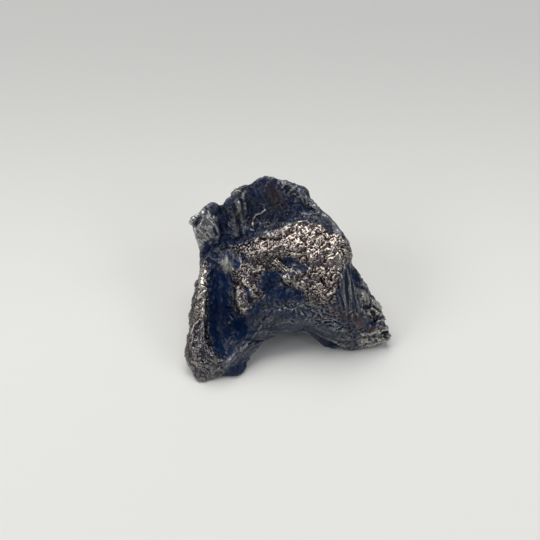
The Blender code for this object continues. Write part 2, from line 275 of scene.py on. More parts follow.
# Where each finish lies, in mm across and up: the width of its soft edge, and its corners.
# The peel of the beam, from the ledge down both sides of the hollow, and the peel of the left shin
beam = zone(
    1.2,
    (-5.8, 14.5), (-0.6, 16.2), (2.3, 17.4), (5.7, 17.0), (9.6, 14.7), (11.3, 13.2), (12.4, 10.8),
    (10.6, 9.3), (10.0, 7.2), (9.6, 4.3), (8.6, 2.0), (5.7, 1.2), (2.9, 2.4), (1.7, 4.3), (-0.6, 5.5),
    (-1.9, 7.8), (-5.0, 7.8), (-5.1, 6.0), (-4.3, 4.4), (-4.6, 2.9), (-6.3, 1.8), (-6.8, 0.3),
    (-8.1, -1.1), (-9.8, 0.2), (-10.5, 2.2), (-10.6, 5.0), (-11.0, 6.9), (-10.9, 8.6), (-9.5, 9.0),
    (-9.6, 10.8), (-11.0, 11.4), (-11.2, 12.4), (-9.3, 13.3),
)
shin = zone(
    1.1,
    (-17.5, 10.5), (-15.2, 9.7), (-15.2, 2.4), (-15.4, -3.4), (-14.4, -6.3), (-13.2, -7.8), (-12.4, -10.0),
    (-13.0, -12.4), (-16.6, -14.4), (-18.7, -14.0), (-21.6, -7.6), (-20.9, -1.5), (-20.5, 2.4),
    (-19.7, 6.2),
)
# The strands of the right leg and of the ear, and the smooth wall of the arch
leg = zone(
    1.2,
    (10.2, 9.7), (12.3, 9.9), (14.2, 6.3), (15.1, 3.4), (14.2, -1.1), (10.9, -0.6), (9.8, 4.3),
)
ear = zone(1.2, (-19.0, 20.0), (-15.0, 21.5), (-13.8, 18.0), (-12.9, 14.5), (-14.6, 13.3), (-18.0, 11.5))
wall = zone(
    1.4,
    (-15.5, -11.0), (-11.5, -8.0), (-8.3, -4.3), (-5.8, -1.0), (-2.5, -0.3), (2.3, -1.2), (8.1, -3.9),
    (11.9, -5.8), (10.9, -7.8), (6.1, -7.3), (3.4, -4.9), (1.3, -4.3), (-5.0, -6.9), (-9.6, -9.2),
    (-12.0, -11.6), (-14.5, -13.0),
)
# The smooth band over the right end of the beam, and the knotted hem of the fin above it
band = zone(
    0.7,
    (2.6, 19.3), (6.2, 19.6), (8.6, 18.5), (10.4, 16.4), (10.9, 14.8),
    (9.0, 15.4), (7.3, 17.0), (5.6, 17.8), (3.0, 17.9),
)
hem = stroke(4.2, (-0.6, 24.2), (2.0, 22.4), (4.3, 20.6), (5.6, 19.4)) * (1 - band)
# The scorched foot of the chest, the underside of the right foot, and the plate and flakes at its end
scorched = zone(
    1.2,
    (8.0, 2.2), (9.8, 3.4), (11.0, 0.8), (12.9, 0.4), (13.2, -1.8), (10.5, -1.2), (8.2, -0.4), (6.6, 0.8),
)
toe = zone(
    0.9,
    (4.0, -4.2), (8.0, -5.2), (10.9, -4.4), (11.5, -3.2),
    (14.2, -2.6), (14.2, -8.0), (10.3, -8.0), (5.0, -6.8),
)
plate = zone(0.8, (13.6, -3.0), (18.6, -2.6), (20.5, -4.0), (20.5, -6.5), (14.0, -7.5))
flakes = zone(0.8, (13.6, 6.0), (16.0, 4.5), (19.6, -0.6), (18.2, -2.0), (14.2, -1.6))
# The pitted lip of the arch
lip = zone(
    0.9,
    (-5.4, 1.4), (-1.0, 2.4), (4.0, 2.2), (9.6, 1.0), (11.5, -5.0), (6.5, -2.5), (0.0, 0.2), (-4.5, 0.2),
)

# Strands, ribs, pits and flakes: name, width, how far out (or in, below 0), path
CARVING = (
    ("fin rib", 1.4, 0.25, (-10.2, 23.0), (-9.4, 20.7), (-9.1, 18.5), (-8.2, 15.8)),
    ("fin rib, right strand", 0.8, 0.25, (-8.7, 22.4), (-8.3, 20.6), (-8.1, 18.8)),
    ("gully in the rib", 0.4, -0.30, (-9.0, 21.6), (-8.9, 20.4), (-8.7, 19.0)),
    ("fin rib, left strand", 1.2, 0.30, (-11.6, 21.0), (-10.8, 17.8), (-10.0, 14.7)),
    ("gully between ear and fin", 1.5, -0.50, (-12.9, 20.5), (-12.3, 17.4), (-12.5, 12.8)),
    ("gully between the strands", 0.8, -0.35, (-10.4, 20.5), (-9.6, 17.4), (-8.9, 14.7)),
    ("hollow beside the rib", 2.3, -0.40, (-7.1, 23.5), (-6.8, 20.8), (-6.9, 18.9)),
    ("slanting knot", 0.8, 0.35, (-10.4, 22.6), (-9.4, 23.2)),
    ("second knot", 0.7, 0.35, (-8.7, 22.0), (-8.3, 23.0)),
    ("lower knot", 0.7, 0.30, (-9.4, 19.9), (-9.3, 21.0)),
    (
        "curl of torn skin", 0.4, 0.35,
        (-4.4, 19.7), (-5.2, 19.1), (-6.2, 18.7), (-6.8, 17.8), (-6.8, 16.6),
    ),
    ("bead under the curl", 0.6, 0.30, (-7.1, 15.8), (-6.8, 15.7)),
    ("edge strand", 1.0, 0.30, (-0.2, 24.7), (2.3, 23.2), (4.4, 21.0), (5.7, 19.1)),
    ("gully inside the edge strand", 1.0, -0.30, (-0.8, 23.5), (1.7, 21.8), (3.8, 19.5)),
    ("knots on the edge", 0.8, 0.35, (-1.0, 24.1), (-0.8, 24.7)),
    ("second knot on the edge", 0.8, 0.30, (0.7, 23.5), (1.5, 24.1)),
    ("bead on the fin", 0.7, 0.40, (-11.5, 17.0), (-11.3, 16.7)),
    ("fin hump", 2.3, 0.30, (-5.0, 21.6), (-2.3, 21.4), (-0.4, 22.2)),
    ("ear knob", 1.2, 0.50, (-18.5, 17.3), (-18.0, 17.8)),
    ("hole behind the knob", 1.0, -0.60, (-17.9, 16.5), (-17.0, 18.1)),
    ("top of the ear", 2.6, 0.50, (-15.8, 20.6), (-13.8, 20.9)),
    ("ear nick", 0.6, -0.40, (-14.1, 16.0), (-13.7, 14.9)),
    ("ear fold", 0.5, 0.10, (-16.7, 19.3), (-15.2, 17.7), (-14.2, 16.2)),
    ("lower ear fold", 0.5, -0.10, (-17.0, 16.6), (-15.9, 16.0), (-15.3, 14.6)),
    ("gully beside the ear", 1.2, -0.40, (-15.2, 19.9), (-13.7, 18.3), (-12.7, 16.2)),
    ("ledge", 1.4, 0.32, (-5.6, 14.9), (-3.5, 15.5), (-1.0, 15.8), (2.3, 16.6)),
    ("crease under the ledge", 0.5, -0.25, (-5.2, 14.1), (-2.5, 13.9), (-0.8, 14.3), (0.7, 15.3)),
    ("strand over the ledge", 0.5, 0.25, (-1.9, 16.4), (0.7, 17.0), (3.4, 17.4)),
    ("smooth band", 1.1, 0.30, (3.0, 18.8), (6.0, 18.7), (7.9, 17.8), (9.3, 16.1), (10.0, 15.0)),
    ("hollow under the smooth band", 0.8, -0.30, (4.4, 17.6), (6.3, 17.3), (8.2, 15.4)),
    ("dimple", 1.5, -0.35, (-0.4, 9.7), (1.1, 9.3), (2.9, 8.5)),
    ("blade", 0.35, 0.28, (-2.3, 10.2), (-1.1, 9.2), (0.0, 8.3)),
    ("blade, middle", 0.35, 0.32, (-2.6, 9.9), (-1.4, 8.9), (-0.3, 8.0)),
    ("blade, lower", 0.35, 0.28, (-2.8, 9.5), (-1.7, 8.6), (-0.6, 7.6)),
    ("cut above the blade", 0.4, -0.15, (-1.8, 10.4), (-0.7, 9.5), (0.3, 8.5)),
    ("cut below the blade", 0.4, -0.12, (-2.9, 9.1), (-2.0, 8.1), (-1.2, 7.4)),
    ("tongue", 1.7, 0.40, (-0.8, 7.0), (0.6, 6.2), (2.5, 5.1)),
    ("under the tongue", 0.9, -0.35, (-1.4, 6.0), (-0.2, 4.9), (1.9, 3.9)),
    ("rim of the hollow", 0.8, 0.08, (-5.8, 7.8), (-3.9, 8.0), (-1.8, 8.3)),
    ("rib pit", 1.0, -0.50, (-7.9, 4.5), (-7.3, 2.6)),
    ("notch beside the rib", 0.7, -0.35, (-10.8, 5.6), (-9.6, 5.6)),
    ("rib streak", 1.2, 0.35, (-8.5, 5.8), (-7.5, 4.9), (-6.6, 3.3)),
    ("rib foot", 1.3, 0.35, (-9.4, 4.5), (-9.8, 2.8), (-8.9, 1.0), (-7.9, 0.1)),
    ("small lobe", 0.9, 0.20, (-5.4, 4.7), (-4.8, 3.2)),
    ("between the streak and the lobe", 1.3, 0.35, (-6.1, 4.5), (-5.8, 3.3)),
    ("rib edge pit", 1.2, -0.50, (-8.9, 10.8), (-8.1, 9.9)),
    ("bay beside the flat", 1.1, -0.40, (-10.0, 10.9), (-9.7, 9.7), (-9.9, 8.8)),
    ("bay under the rib", 1.5, -0.45, (-6.9, 2.0), (-5.0, 1.2)),
    ("slit", 0.5, -0.50, (-7.5, -5.9), (-6.6, -5.5), (-4.3, -5.5)),
    ("rim line of the arch", 0.4, 0.20, (-9.1, -7.2), (-7.7, -5.9), (-6.4, -4.0), (-5.2, -2.4)),
    ("under edge", 0.7, -0.50, (2.9, -3.4), (4.4, -4.0), (6.1, -5.1), (8.6, -6.3), (10.6, -7.0)),
    ("strand over the under edge", 0.6, 0.25, (3.2, -2.8), (5.2, -3.6), (7.7, -4.9), (10.9, -6.3)),
    ("leg strand", 0.6, 0.18, (10.6, 8.5), (10.2, 6.2), (10.2, 3.9), (10.7, 1.6)),
    ("leg gully", 0.5, -0.30, (10.7, 8.2), (10.9, 5.5), (11.1, 3.2), (11.3, 1.8)),
    ("second leg strand", 0.7, 0.20, (11.1, 8.2), (11.5, 5.7), (11.9, 3.2), (12.7, 0.8)),
    ("second leg gully", 0.4, -0.22, (11.9, 7.0), (12.1, 4.7), (12.7, 2.4), (13.2, 0.1)),
    ("third leg strand", 0.5, 0.22, (12.3, 6.2), (12.7, 4.3), (13.6, 2.0), (14.2, -0.1)),
    ("third leg gully", 0.5, -0.30, (12.5, 5.5), (13.1, 3.2), (13.8, 1.2)),
    ("fourth leg strand", 0.5, 0.22, (13.1, 4.5), (13.8, 2.4), (14.4, 0.5), (14.4, -1.5)),
    ("inner leg gully", 0.5, -0.28, (9.4, 6.4), (9.6, 4.1), (10.2, 2.2), (10.6, 0.8)),
    ("hollow at the top of the leg", 1.2, -0.45, (11.5, 8.9), (12.1, 7.4), (13.1, 5.8)),
    ("leg edge strand", 0.5, 0.25, (12.3, 8.7), (13.6, 6.6), (15.0, 4.3)),
    ("fold across the leg", 0.6, -0.35, (13.2, 5.1), (14.6, 4.7), (15.6, 3.9)),
    ("first flake", 1.2, 0.45, (14.0, 3.7), (14.6, 3.0), (15.0, 2.0)),
    ("gap after the first flake", 0.4, -0.35, (15.4, 3.2), (15.7, 2.0), (15.9, 0.8)),
    ("pit under the first flake", 0.8, -0.25, (14.4, 1.0), (15.4, 1.0)),
    ("second flake", 0.8, 0.45, (16.3, 2.0), (16.9, 1.4), (17.5, 0.7)),
    ("ribbon", 0.5, 0.45, (16.1, 0.7), (16.7, 0.5), (17.1, -0.1), (17.7, -0.3)),
    ("ribbon, left turn", 0.4, 0.35, (15.6, 1.2), (15.2, 0.1), (15.9, -0.5)),
    ("dark edge of the flakes", 0.6, -0.30, (16.1, 3.2), (17.5, 2.0), (18.4, 0.5)),
    ("pocket", 2.6, 0.80, (15.2, -1.5), (16.7, -1.4), (15.7, -2.6)),
    ("inside the ribbon", 1.0, 0.30, (16.2, 0.0), (16.6, -0.6)),
    ("thin blade", 0.4, 0.45, (16.7, -3.0), (17.7, -1.8), (19.0, -0.7)),
    ("cut above the thin blade", 0.4, -0.30, (16.5, -2.4), (17.5, -1.5), (18.4, -0.3)),
    ("plate ridge", 0.8, 0.20, (14.2, -4.0), (15.7, -4.0), (17.9, -3.6), (19.0, -3.0)),
    ("plate crease", 0.5, -0.12, (14.6, -4.9), (17.3, -4.7), (19.8, -4.9)),
    ("plate notch", 0.5, -0.20, (17.9, -4.2), (19.4, -3.8)),
    ("gap beside the plate", 0.8, -0.15, (13.1, -3.4), (12.5, -4.7), (13.2, -6.3)),
    ("shin crest", 0.8, 0.30, (-16.0, 8.2), (-16.4, 5.3), (-16.9, 2.4), (-17.5, -1.8), (-18.5, -6.3)),
    (
        "bright ridge on the shin", 0.5, 0.35,
        (-16.2, 6.4), (-16.4, 5.1), (-15.6, 4.3), (-16.4, 3.3), (-17.1, 2.6),
    ),
    ("cut on the shin", 0.4, -0.35, (-15.8, 5.7), (-15.2, 4.7), (-15.8, 3.5)),
    ("second cut on the shin", 0.4, -0.35, (-16.9, 4.9), (-16.6, 3.9)),
    ("line down the shin", 0.4, 0.30, (-16.9, -1.3), (-17.5, -2.4), (-17.9, -4.2)),
    ("flat under the foot", 1.1, -0.50, (-17.6, -12.1), (-16.9, -12.3)),
    ("bowl bead", 0.5, 0.40, (-11.2, -2.0), (-10.8, -1.5)),
    ("pit under the bead", 0.5, -0.35, (-11.6, -2.2), (-11.0, -2.6)),
    ("bowl lump", 1.9, 0.25, (-11.6, -6.1), (-9.6, -6.5)),
    ("lip pit", 0.4, -0.30, (6.9, -1.8), (8.1, -1.8)),
    ("lip pit", 0.4, -0.24, (7.5, -2.4), (8.2, -2.4)),
    ("lip pit", 0.5, -0.30, (8.8, -1.7), (9.6, -2.2), (10.4, -2.4)),
    ("lip pit", 0.4, -0.30, (10.2, -2.8), (11.1, -3.0)),
    ("lip pit", 0.4, -0.24, (9.2, -3.2), (10.0, -3.0)),
    ("lip pit", 0.5, -0.27, (11.1, -4.0), (12.1, -4.7)),
    ("lip pit", 0.4, -0.24, (-2.5, 1.0), (-1.9, 0.8)),
    ("lip pit", 0.4, -0.27, (-0.6, 1.4), (0.2, 1.0)),
    ("lip pit", 0.4, -0.27, (0.9, 1.0), (1.5, 1.2)),
    ("lip pit", 0.4, -0.27, (2.5, 0.5), (3.4, -0.5)),
    ("lip pit", 0.4, -0.24, (4.2, 0.3), (4.8, -0.1)),
    ("lip pit", 0.4, -0.24, (5.6, -0.3), (6.1, -0.9)),
    ("lip pit", 0.4, -0.24, (5.2, -1.5), (6.1, -1.5)),
    ("lip pit", 0.3, -0.21, (0.6, -1.5), (0.9, -1.7)),
    ("lip groove", 0.6, -0.30, (-4.8, -1.3), (-3.7, -0.5), (-3.1, 0.3)),
    ("crease of the chest", 0.4, -0.20, (8.4, 8.0), (10.0, 7.8)),
    ("crease of the chest", 0.4, -0.20, (4.2, 7.8), (5.9, 7.6)),
    ("crease of the chest", 0.4, -0.20, (5.7, 7.0), (6.7, 5.5)),
    ("crease of the chest", 0.4, -0.20, (3.1, 9.5), (4.6, 8.3)),
    ("crease of the chest", 0.4, -0.20, (2.7, 6.2), (4.0, 5.7)),
    ("crease of the chest", 0.4, -0.20, (3.6, 4.5), (3.8, 2.4)),
    ("crease of the beam", 0.4, -0.20, (-1.8, 12.0), (0.6, 11.8), (2.5, 11.2)),
    ("crease of the beam", 0.4, -0.20, (5.9, 12.4), (7.3, 13.9), (8.8, 14.7)),
    ("crease of the beam", 0.4, -0.20, (2.3, 14.3), (3.6, 12.6), (5.4, 12.0)),
    ("hook", 0.5, 0.40, (8.4, 6.8), (8.6, 6.0), (8.1, 5.7)),
    ("hook", 0.5, 0.35, (7.5, 3.5), (8.6, 3.9), (8.8, 4.5)),
)
# Places with the thickest, darkest oxide, and painted shade in the hollows, creases and gaps, on the stub
# foot and along the under edges of the arch, where the shadow falls: name, share, width, path
DARK_OXIDE_AND_PAINTED_SHADE = (
    ("groove", 1.00, 5.0, (-13.4, 6.6), (-13.1, 2.4), (-13.1, -2.4), (-12.3, -6.3)),
    ("bowl", 1.00, 5.4, (-12.7, -3.8), (-8.7, -3.4)),
    ("end of the bowl", 0.90, 2.7, (-12.7, -6.5), (-10.8, -7.6)),
    ("under the rib foot", 0.90, 2.7, (-8.7, -1.8), (-6.2, 0.8)),
    ("valley", 0.62, 3.4, (-15.4, 12.6), (-12.7, 13.9), (-9.3, 14.3), (-6.6, 14.7)),
    ("valley, foot", 0.70, 2.0, (-15.8, 11.6), (-13.9, 10.8)),
    ("bay beside the flat", 0.90, 1.3, (-10.0, 10.9), (-9.7, 9.7), (-9.9, 8.8)),
    ("rib edge pit", 0.70, 1.2, (-8.9, 10.8), (-8.1, 9.9)),
    ("groove edge", 0.80, 0.8, (-11.0, 7.6), (-10.9, 6.0), (-9.6, 5.6)),
    ("hollow", 1.00, 4.2, (-3.9, 5.3), (-3.1, 4.3)),
    ("hollow, right", 1.00, 3.1, (-1.6, 3.5), (1.9, 3.3)),
    ("hollow, top", 0.90, 1.9, (-4.6, 6.8), (-2.3, 7.2)),
    ("dimple", 0.90, 2.1, (-0.2, 9.7), (1.1, 9.1), (2.9, 8.5)),
    ("rib pit", 0.90, 1.3, (-7.9, 4.5), (-7.3, 2.6)),
    ("pocket", 0.60, 2.4, (15.4, -1.7), (16.9, -1.3), (15.7, -3.0)),
    ("pit under the flake", 0.90, 1.0, (14.4, 1.0), (15.4, 1.0)),
    ("edge of the flakes", 0.80, 0.8, (15.9, 3.5), (17.5, 2.0), (18.6, 0.3), (19.2, -0.5)),
    # Painted shade: the stub foot and the under edges of the arch stand in the shadow under the arch
    ("stub foot", 1.20, 2.8, (-10.9, -11.6), (-9.2, -10.6)),
    ("under edge", 1.00, 0.9, (-6.4, -5.7), (-3.9, -5.3), (-1.4, -4.3), (0.6, -3.8), (2.9, -3.6)),
    ("under edge, right", 1.00, 1.5, (2.9, -3.6), (4.6, -4.4), (6.3, -5.7), (8.8, -6.7)),
    ("leg top", 0.70, 1.5, (11.5, 8.9), (12.3, 7.0), (13.4, 5.1)),
    ("fold across the leg", 0.70, 0.8, (13.2, 5.1), (14.6, 4.7), (15.7, 3.7)),
    ("hole behind the knob", 0.90, 1.2, (-17.9, 16.5), (-17.0, 18.1)),
    ("ear nick", 0.80, 0.7, (-14.1, 16.0), (-13.7, 15.1)),
    ("gully beside the ear", 0.60, 2.3, (-14.6, 20.1), (-12.7, 18.2), (-12.5, 14.7)),
    ("fin", 0.42, 5.5, (-5.8, 21.6), (-2.5, 18.9), (2.3, 19.5)),
    ("under the curl", 0.30, 2.0, (-5.8, 17.8), (-4.3, 16.6)),
    ("gap beside the plate", 0.20, 1.2, (13.1, -3.4), (12.5, -4.7), (13.1, -6.5)),
    ("crease under the ledge", 0.35, 0.7, (-5.0, 13.9), (-2.5, 13.9), (-0.8, 14.3)),
)
# Places worn to paler iron, and painted highlights on the glinting ridges, knots, flakes and toe: name,
# share, width, path
PALE_IRON_AND_PAINTED_GLINTS = (
    ("flat on the rib's head", 1.00, 2.8, (-12.1, 9.5), (-11.7, 8.4)),
    ("flat on the chest", 1.00, 1.9, (9.1, 10.4), (9.5, 9.1)),
    ("blade", 0.55, 1.3, (-2.5, 10.0), (-1.4, 8.9), (-0.3, 8.0)),
    ("beside the blade", 0.45, 1.7, (-3.3, 10.5), (-2.9, 8.5)),
    ("tongue", 0.50, 1.9, (-0.6, 7.0), (0.7, 6.2), (2.5, 5.1)),
    ("rib streak", 0.60, 1.5, (-8.3, 5.8), (-7.3, 4.7), (-6.6, 3.5)),
    ("rib foot", 0.50, 1.5, (-9.6, 4.5), (-9.8, 2.8), (-8.9, 1.2), (-8.1, 0.3)),
    ("small lobe", 0.45, 1.2, (-5.4, 4.7), (-4.8, 3.2)),
    ("first flake", 0.65, 2.2, (14.0, 3.7), (14.6, 3.0), (15.2, 1.8)),
    ("second flake", 0.85, 1.6, (16.1, 2.0), (16.9, 1.4), (17.5, 0.7)),
    ("ribbon", 0.95, 1.0, (15.6, 1.2), (15.2, 0.1), (15.9, -0.5)),
    ("ribbon", 1.00, 1.0, (16.1, 0.7), (16.7, 0.5), (17.1, -0.1), (17.7, -0.3)),
    ("thin blade", 0.95, 0.9, (16.9, -3.0), (17.9, -1.8), (19.0, -0.9)),
    ("plate", 0.60, 2.0, (14.2, -4.0), (15.7, -4.2), (17.7, -3.6), (18.8, -3.2)),
    ("plate, lower face", 0.60, 2.6, (14.2, -5.7), (16.9, -5.7), (19.2, -5.5)),
    ("knot", 0.50, 1.0, (-10.4, 22.6), (-9.4, 23.2)),
    ("knot", 0.55, 1.0, (-8.7, 22.0), (-8.3, 23.0)),
    ("knot", 0.50, 0.9, (-9.5, 19.5), (-9.3, 21.0)),
    ("knot", 0.45, 0.7, (-8.3, 19.5), (-8.3, 20.8)),
    ("knot", 0.45, 0.9, (-11.3, 17.4), (-11.2, 16.7)),
    ("knot", 0.40, 1.2, (-12.5, 20.5), (-12.3, 19.5)),
    ("knot", 0.40, 1.0, (-10.2, 18.9), (-9.4, 18.0)),
    ("knot", 0.55, 1.0, (-1.0, 23.9), (-0.8, 24.7)),
    ("knot", 0.50, 1.0, (0.6, 23.9), (1.5, 24.1)),
    ("knot", 0.35, 1.2, (1.5, 22.4), (2.9, 21.8)),
    ("knot", 0.50, 0.8, (3.8, 21.0), (4.6, 20.7)),
    ("knot", 0.60, 0.8, (-2.3, 21.6), (-1.9, 20.8)),
    (
        "curl of torn skin", 0.90, 0.6,
        (-4.3, 19.9), (-5.2, 19.1), (-6.2, 18.7), (-6.8, 17.8), (-6.8, 16.6),
    ),
    ("bead under the curl", 0.70, 0.6, (-7.1, 15.8), (-6.8, 15.7)),
    ("tip of the ledge", 0.80, 0.6, (-6.0, 14.7), (-5.0, 15.5)),
    ("ledge", 0.15, 1.5, (-5.0, 14.9), (-3.1, 15.3), (-0.8, 15.8)),
    ("ledge, far", 0.35, 1.0, (-0.8, 16.4), (3.2, 17.0)),
    ("smooth band", 0.38, 1.1, (3.2, 18.9), (6.0, 18.75), (7.9, 17.9), (9.3, 16.3), (10.0, 15.2)),
    ("bowl bead", 0.80, 0.6, (-11.2, -2.0), (-10.8, -1.5)),
    ("ear", 0.30, 3.6, (-16.4, 18.7), (-16.9, 15.5), (-16.6, 12.8)),
    ("ear, right", 0.40, 2.4, (-15.2, 18.2), (-15.2, 15.5)),
    ("knob", 0.70, 0.8, (-18.5, 17.5), (-18.1, 17.9)),
    # Painted highlight: the bright ridge on the shin
    (
        "bright ridge on the shin", 1.00, 0.8,
        (-16.2, 6.4), (-16.4, 5.1), (-15.6, 4.3), (-16.4, 3.3), (-17.1, 2.6),
    ),
    ("shin", 0.50, 1.5, (-16.4, 7.8), (-15.8, 2.4), (-16.4, 0.1)),
    ("line down the shin", 0.50, 0.6, (-16.9, -1.3), (-17.5, -2.4), (-17.9, -4.2)),
    ("spots on the foot", 0.50, 1.2, (-18.5, -9.5), (-16.8, -9.9)),
    ("hook", 0.80, 0.7, (8.4, 6.8), (8.6, 6.0), (8.1, 5.7)),
    ("hook", 0.80, 0.7, (7.5, 3.5), (8.6, 3.9), (8.8, 4.5)),
    ("spot beside the rust", 0.90, 0.6, (12.9, -2.4), (13.1, -2.4)),
    ("spot on the plate", 0.70, 0.7, (18.4, -3.0), (18.8, -3.6)),
    # Painted highlight: the glints along the toe
    ("glints along the toe", 0.60, 0.6, (6.4, -6.7), (8.3, -7.0), (10.3, -7.2)),
    ("rim line of the arch", 0.40, 0.5, (-9.1, -7.2), (-7.7, -5.9), (-6.4, -4.0), (-5.2, -2.4)),
)

# A stroke fades towards its edge, so it is drawn this much wider than the form it makes
CARVED_WIDER = 1.6
PAINTED_WIDER = 1.4


def painted(rows):
    """The strongest of these strokes at each place."""
    total = np.zeros(len(seen))
    for _, share, width, *path in rows:
        total = np.maximum(total, share * stroke(width * PAINTED_WIDER, *path))
    return total


carved = np.zeros(len(seen))
for _, width, reach, *path in CARVING:
    carved += reach * stroke(width * CARVED_WIDER, *path)
# The first holds the thick oxide and the painted shade, the second the paler iron and the painted
# highlights
oxide_and_shade = painted(DARK_OXIDE_AND_PAINTED_SHADE)
pale_and_glint = painted(PALE_IRON_AND_PAINTED_GLINTS)

# Which way the strands run: those of the right leg and of the fin fan from a point, those of the ear
# lie side by side, and those of the wall follow the arch. Each flow counts strands across and lengths
# along, and the last numbers keep their noises apart.
LEG_FAN_FROM = np.array((9.7, 20.7))
LEG_STRAND_TURN = 0.034  # radians from strand to strand
LEG_STRAND_LENGTH = 8.0
leg_fan = seen - LEG_FAN_FROM
leg_across = np.arctan2(leg_fan[:, 0], -leg_fan[:, 1]) / LEG_STRAND_TURN
leg_along = np.linalg.norm(leg_fan, axis=1) / LEG_STRAND_LENGTH
leg_flow = np.column_stack([leg_across, leg_along, np.zeros(len(seen))])

EAR_LEAN = math.radians(-42)
EAR_STRAND_WIDTH = 0.45
EAR_STRAND_LENGTH = 4.0
ear_across = seen[:, 0] * math.cos(EAR_LEAN) - seen[:, 1] * math.sin(EAR_LEAN)
ear_along = seen[:, 0] * math.sin(EAR_LEAN) + seen[:, 1] * math.cos(EAR_LEAN)
ear_across /= EAR_STRAND_WIDTH
ear_along /= EAR_STRAND_LENGTH
ear_flow = np.column_stack([ear_across, ear_along, np.full(len(seen), 5.0)])

ARCH = (
    (-16.0, -14.0), (-10.4, -8.2), (-7.3, -5.6), (-4.3, -5.0),
    (-0.6, -4.6), (3.5, -5.4), (7.0, -7.4), (11.5, -8.2),
)
WALL_STRAND_WIDTH = 0.6
WALL_STRAND_LENGTH = 5.0
wall_flow = np.column_stack([path_distance(ARCH) / WALL_STRAND_WIDTH, seen / WALL_STRAND_LENGTH])

FIN_FAN_FROM = np.array((-16.9, 46.2))
FIN_STRAND_TURN = 0.022
FIN_STRAND_LENGTH = 2.8
fin_fan = seen - FIN_FAN_FROM
fin_across = np.arctan2(fin_fan[:, 0], -fin_fan[:, 1]) / FIN_STRAND_TURN
fin_along = np.linalg.norm(fin_fan, axis=1) / FIN_STRAND_LENGTH
fin_flow = np.column_stack([fin_across, fin_along, np.full(len(seen), 8.0)])

IN_ZONE = 0.02
fin = front * smooth_step(seen[:, 1], 12.5, 15.5)
flow = wall_flow
for zone_share, zone_flow in ((fin, fin_flow), (leg, leg_flow), (ear, ear_flow)):
    flow = np.where((zone_share > IN_ZONE)[:, None], zone_flow, flow)
strand_share = np.clip(0.35 * ear + leg + 0.6 * wall + 0.15 * fin + 0.5 * lip, 0, 1)
strands = noise_field(1.0, 3.0, flow)

# Where the oxide is thickest along with the painted shade, where the iron is palest along with the
# painted highlights, where the skin is orange peel, also in patches on the back, and the plain skin
# between. Noise frays their edges.
edge_noise = noise_field(1.6, 2.0)
rugged = noise_field(0.7, 4.0)
oxide_and_shade = smooth_step(oxide_and_shade + 0.4 * edge_noise + 0.8 * rugged, 0.25, 0.75)
pale_and_glint = np.clip(pale_and_glint + 0.25 * pale_and_glint * rugged, 0, 1)
far_peel = back * smooth_step(noise_field(9.0, 50.0) + 0.5 * noise_field(3.0, 51.0), -0.02, 0.14)
peel = np.maximum.reduce([beam, shin, far_peel]) + 0.5 * plate + 0.4 * flakes + 0.75 * toe + 0.4 * scorched
peel = smooth_step(np.clip(peel, 0, 1) + 0.5 * edge_noise + 0.3 * rugged, 0.15, 0.8) * (1 - oxide_and_shade)
plain = (
    (1 - peel) * (1 - 0.85 * wall) * (1 - leg) * (1 - 0.95 * ear)
    * (1 - band) * (1 - 0.6 * lip) * (1 - 0.25 * fin)
)
# The smooth groove and bowl, the flat on the rib's head, and where the lumps of the peel fade
calm = np.maximum(
    stroke(6.5, (-13.1, 7.8), (-13.1, -2.4), (-12.3, -6.3)),
    stroke(7.5, (-12.7, -3.8), (-8.7, -3.4)),
)
flat = stroke(3.6, (-12.1, 9.5), (-11.7, 8.4))
smooth = np.maximum(0.75 * oxide_and_shade, 0.85 * pale_and_glint)

# The orange peel is coarse on the right of the chest, fine on the left of it, and flatter on the foot
fineness = smooth_step(seen[:, 0], 3.0, -5.0)
coarse_lumps = 0.8 * lumpy(1.5) + 0.4 * lumpy(0.8, 9.0)
fine_lumps = 0.5 * lumpy(1.3, 3.0) + 0.6 * lumpy(0.65, 14.0)
lumps = (1 - fineness) * coarse_lumps + fineness * fine_lumps
foot = smooth_step(seen[:, 1], 1.0, -5.0) * smooth_step(seen[:, 0], -11.0, -14.0)
lumps = (1 - 0.35 * foot) * lumps + (0.35 - 0.1 * foot) * lumpy(2.6, 21.0)
lumpy_share = peel * (1 - smooth) + 0.12 * back * (1 - peel)
swell = noise_field(1.9, 7.0)
pits = smooth_step(rugged, 0.15, 0.4)
LIP_PIT_SIZE = (1.1, 0.6, 0.5)
lip_pits = smooth_step(noise_field(1.0, 17.0, places / LIP_PIT_SIZE), 0.08, 0.35)

# How far each kind of relief stands out, in mm. Those below 0 are cut in.
ALL_OVER = 0.09
PEEL_LUMPS = 0.35
BACK_SWELL = 0.45
PEEL_SWELL = 0.42
PEEL_RIDGES = 0.12
PLAIN_SWELL = 0.34
PLAIN_RIDGES = 0.17
FINE_RIDGES = 0.045
FIN_STRANDS = 0.10
HEM_LUMPS = 0.16
LIP_LUMPS = 0.09
LIP_PITS = -0.13
BACK_PITS = -0.07
relief = (
    carved + ALL_OVER
    + PEEL_LUMPS * lumpy_share * lumps
    + BACK_SWELL * back * bent_noise(4.5, 52.0)
    + PEEL_SWELL * peel * swell
    + PEEL_RIDGES * peel * (1 - smooth) * (1 - fineness) * worms(2.2, 40.0)
    + PLAIN_SWELL * plain * (1 - 0.7 * calm) * swell
    + PLAIN_RIDGES * plain * (1 - 0.7 * calm) * (1 - 0.75 * back) * worms(1.2, 6.0)
    + FINE_RIDGES * (1 - 0.6 * wall) * (1 - 0.7 * calm)
    * (1 - 0.8 * np.maximum(band, leg)) * worms(0.45, 5.0)
    + (0.20 * leg + 0.05 * ear + 0.05 * wall + 0.05 * lip) * strands
    + FIN_STRANDS * fin * (1 - peel) * noise_field(0.5, 2.0, flow)
    + HEM_LUMPS * hem * lumpy(0.9, 30.0)
    + LIP_LUMPS * lip * lumpy(0.55, 33.0)
    + LIP_PITS * lip * lip_pits
    + BACK_PITS * back * (1 - peel) * pits
)
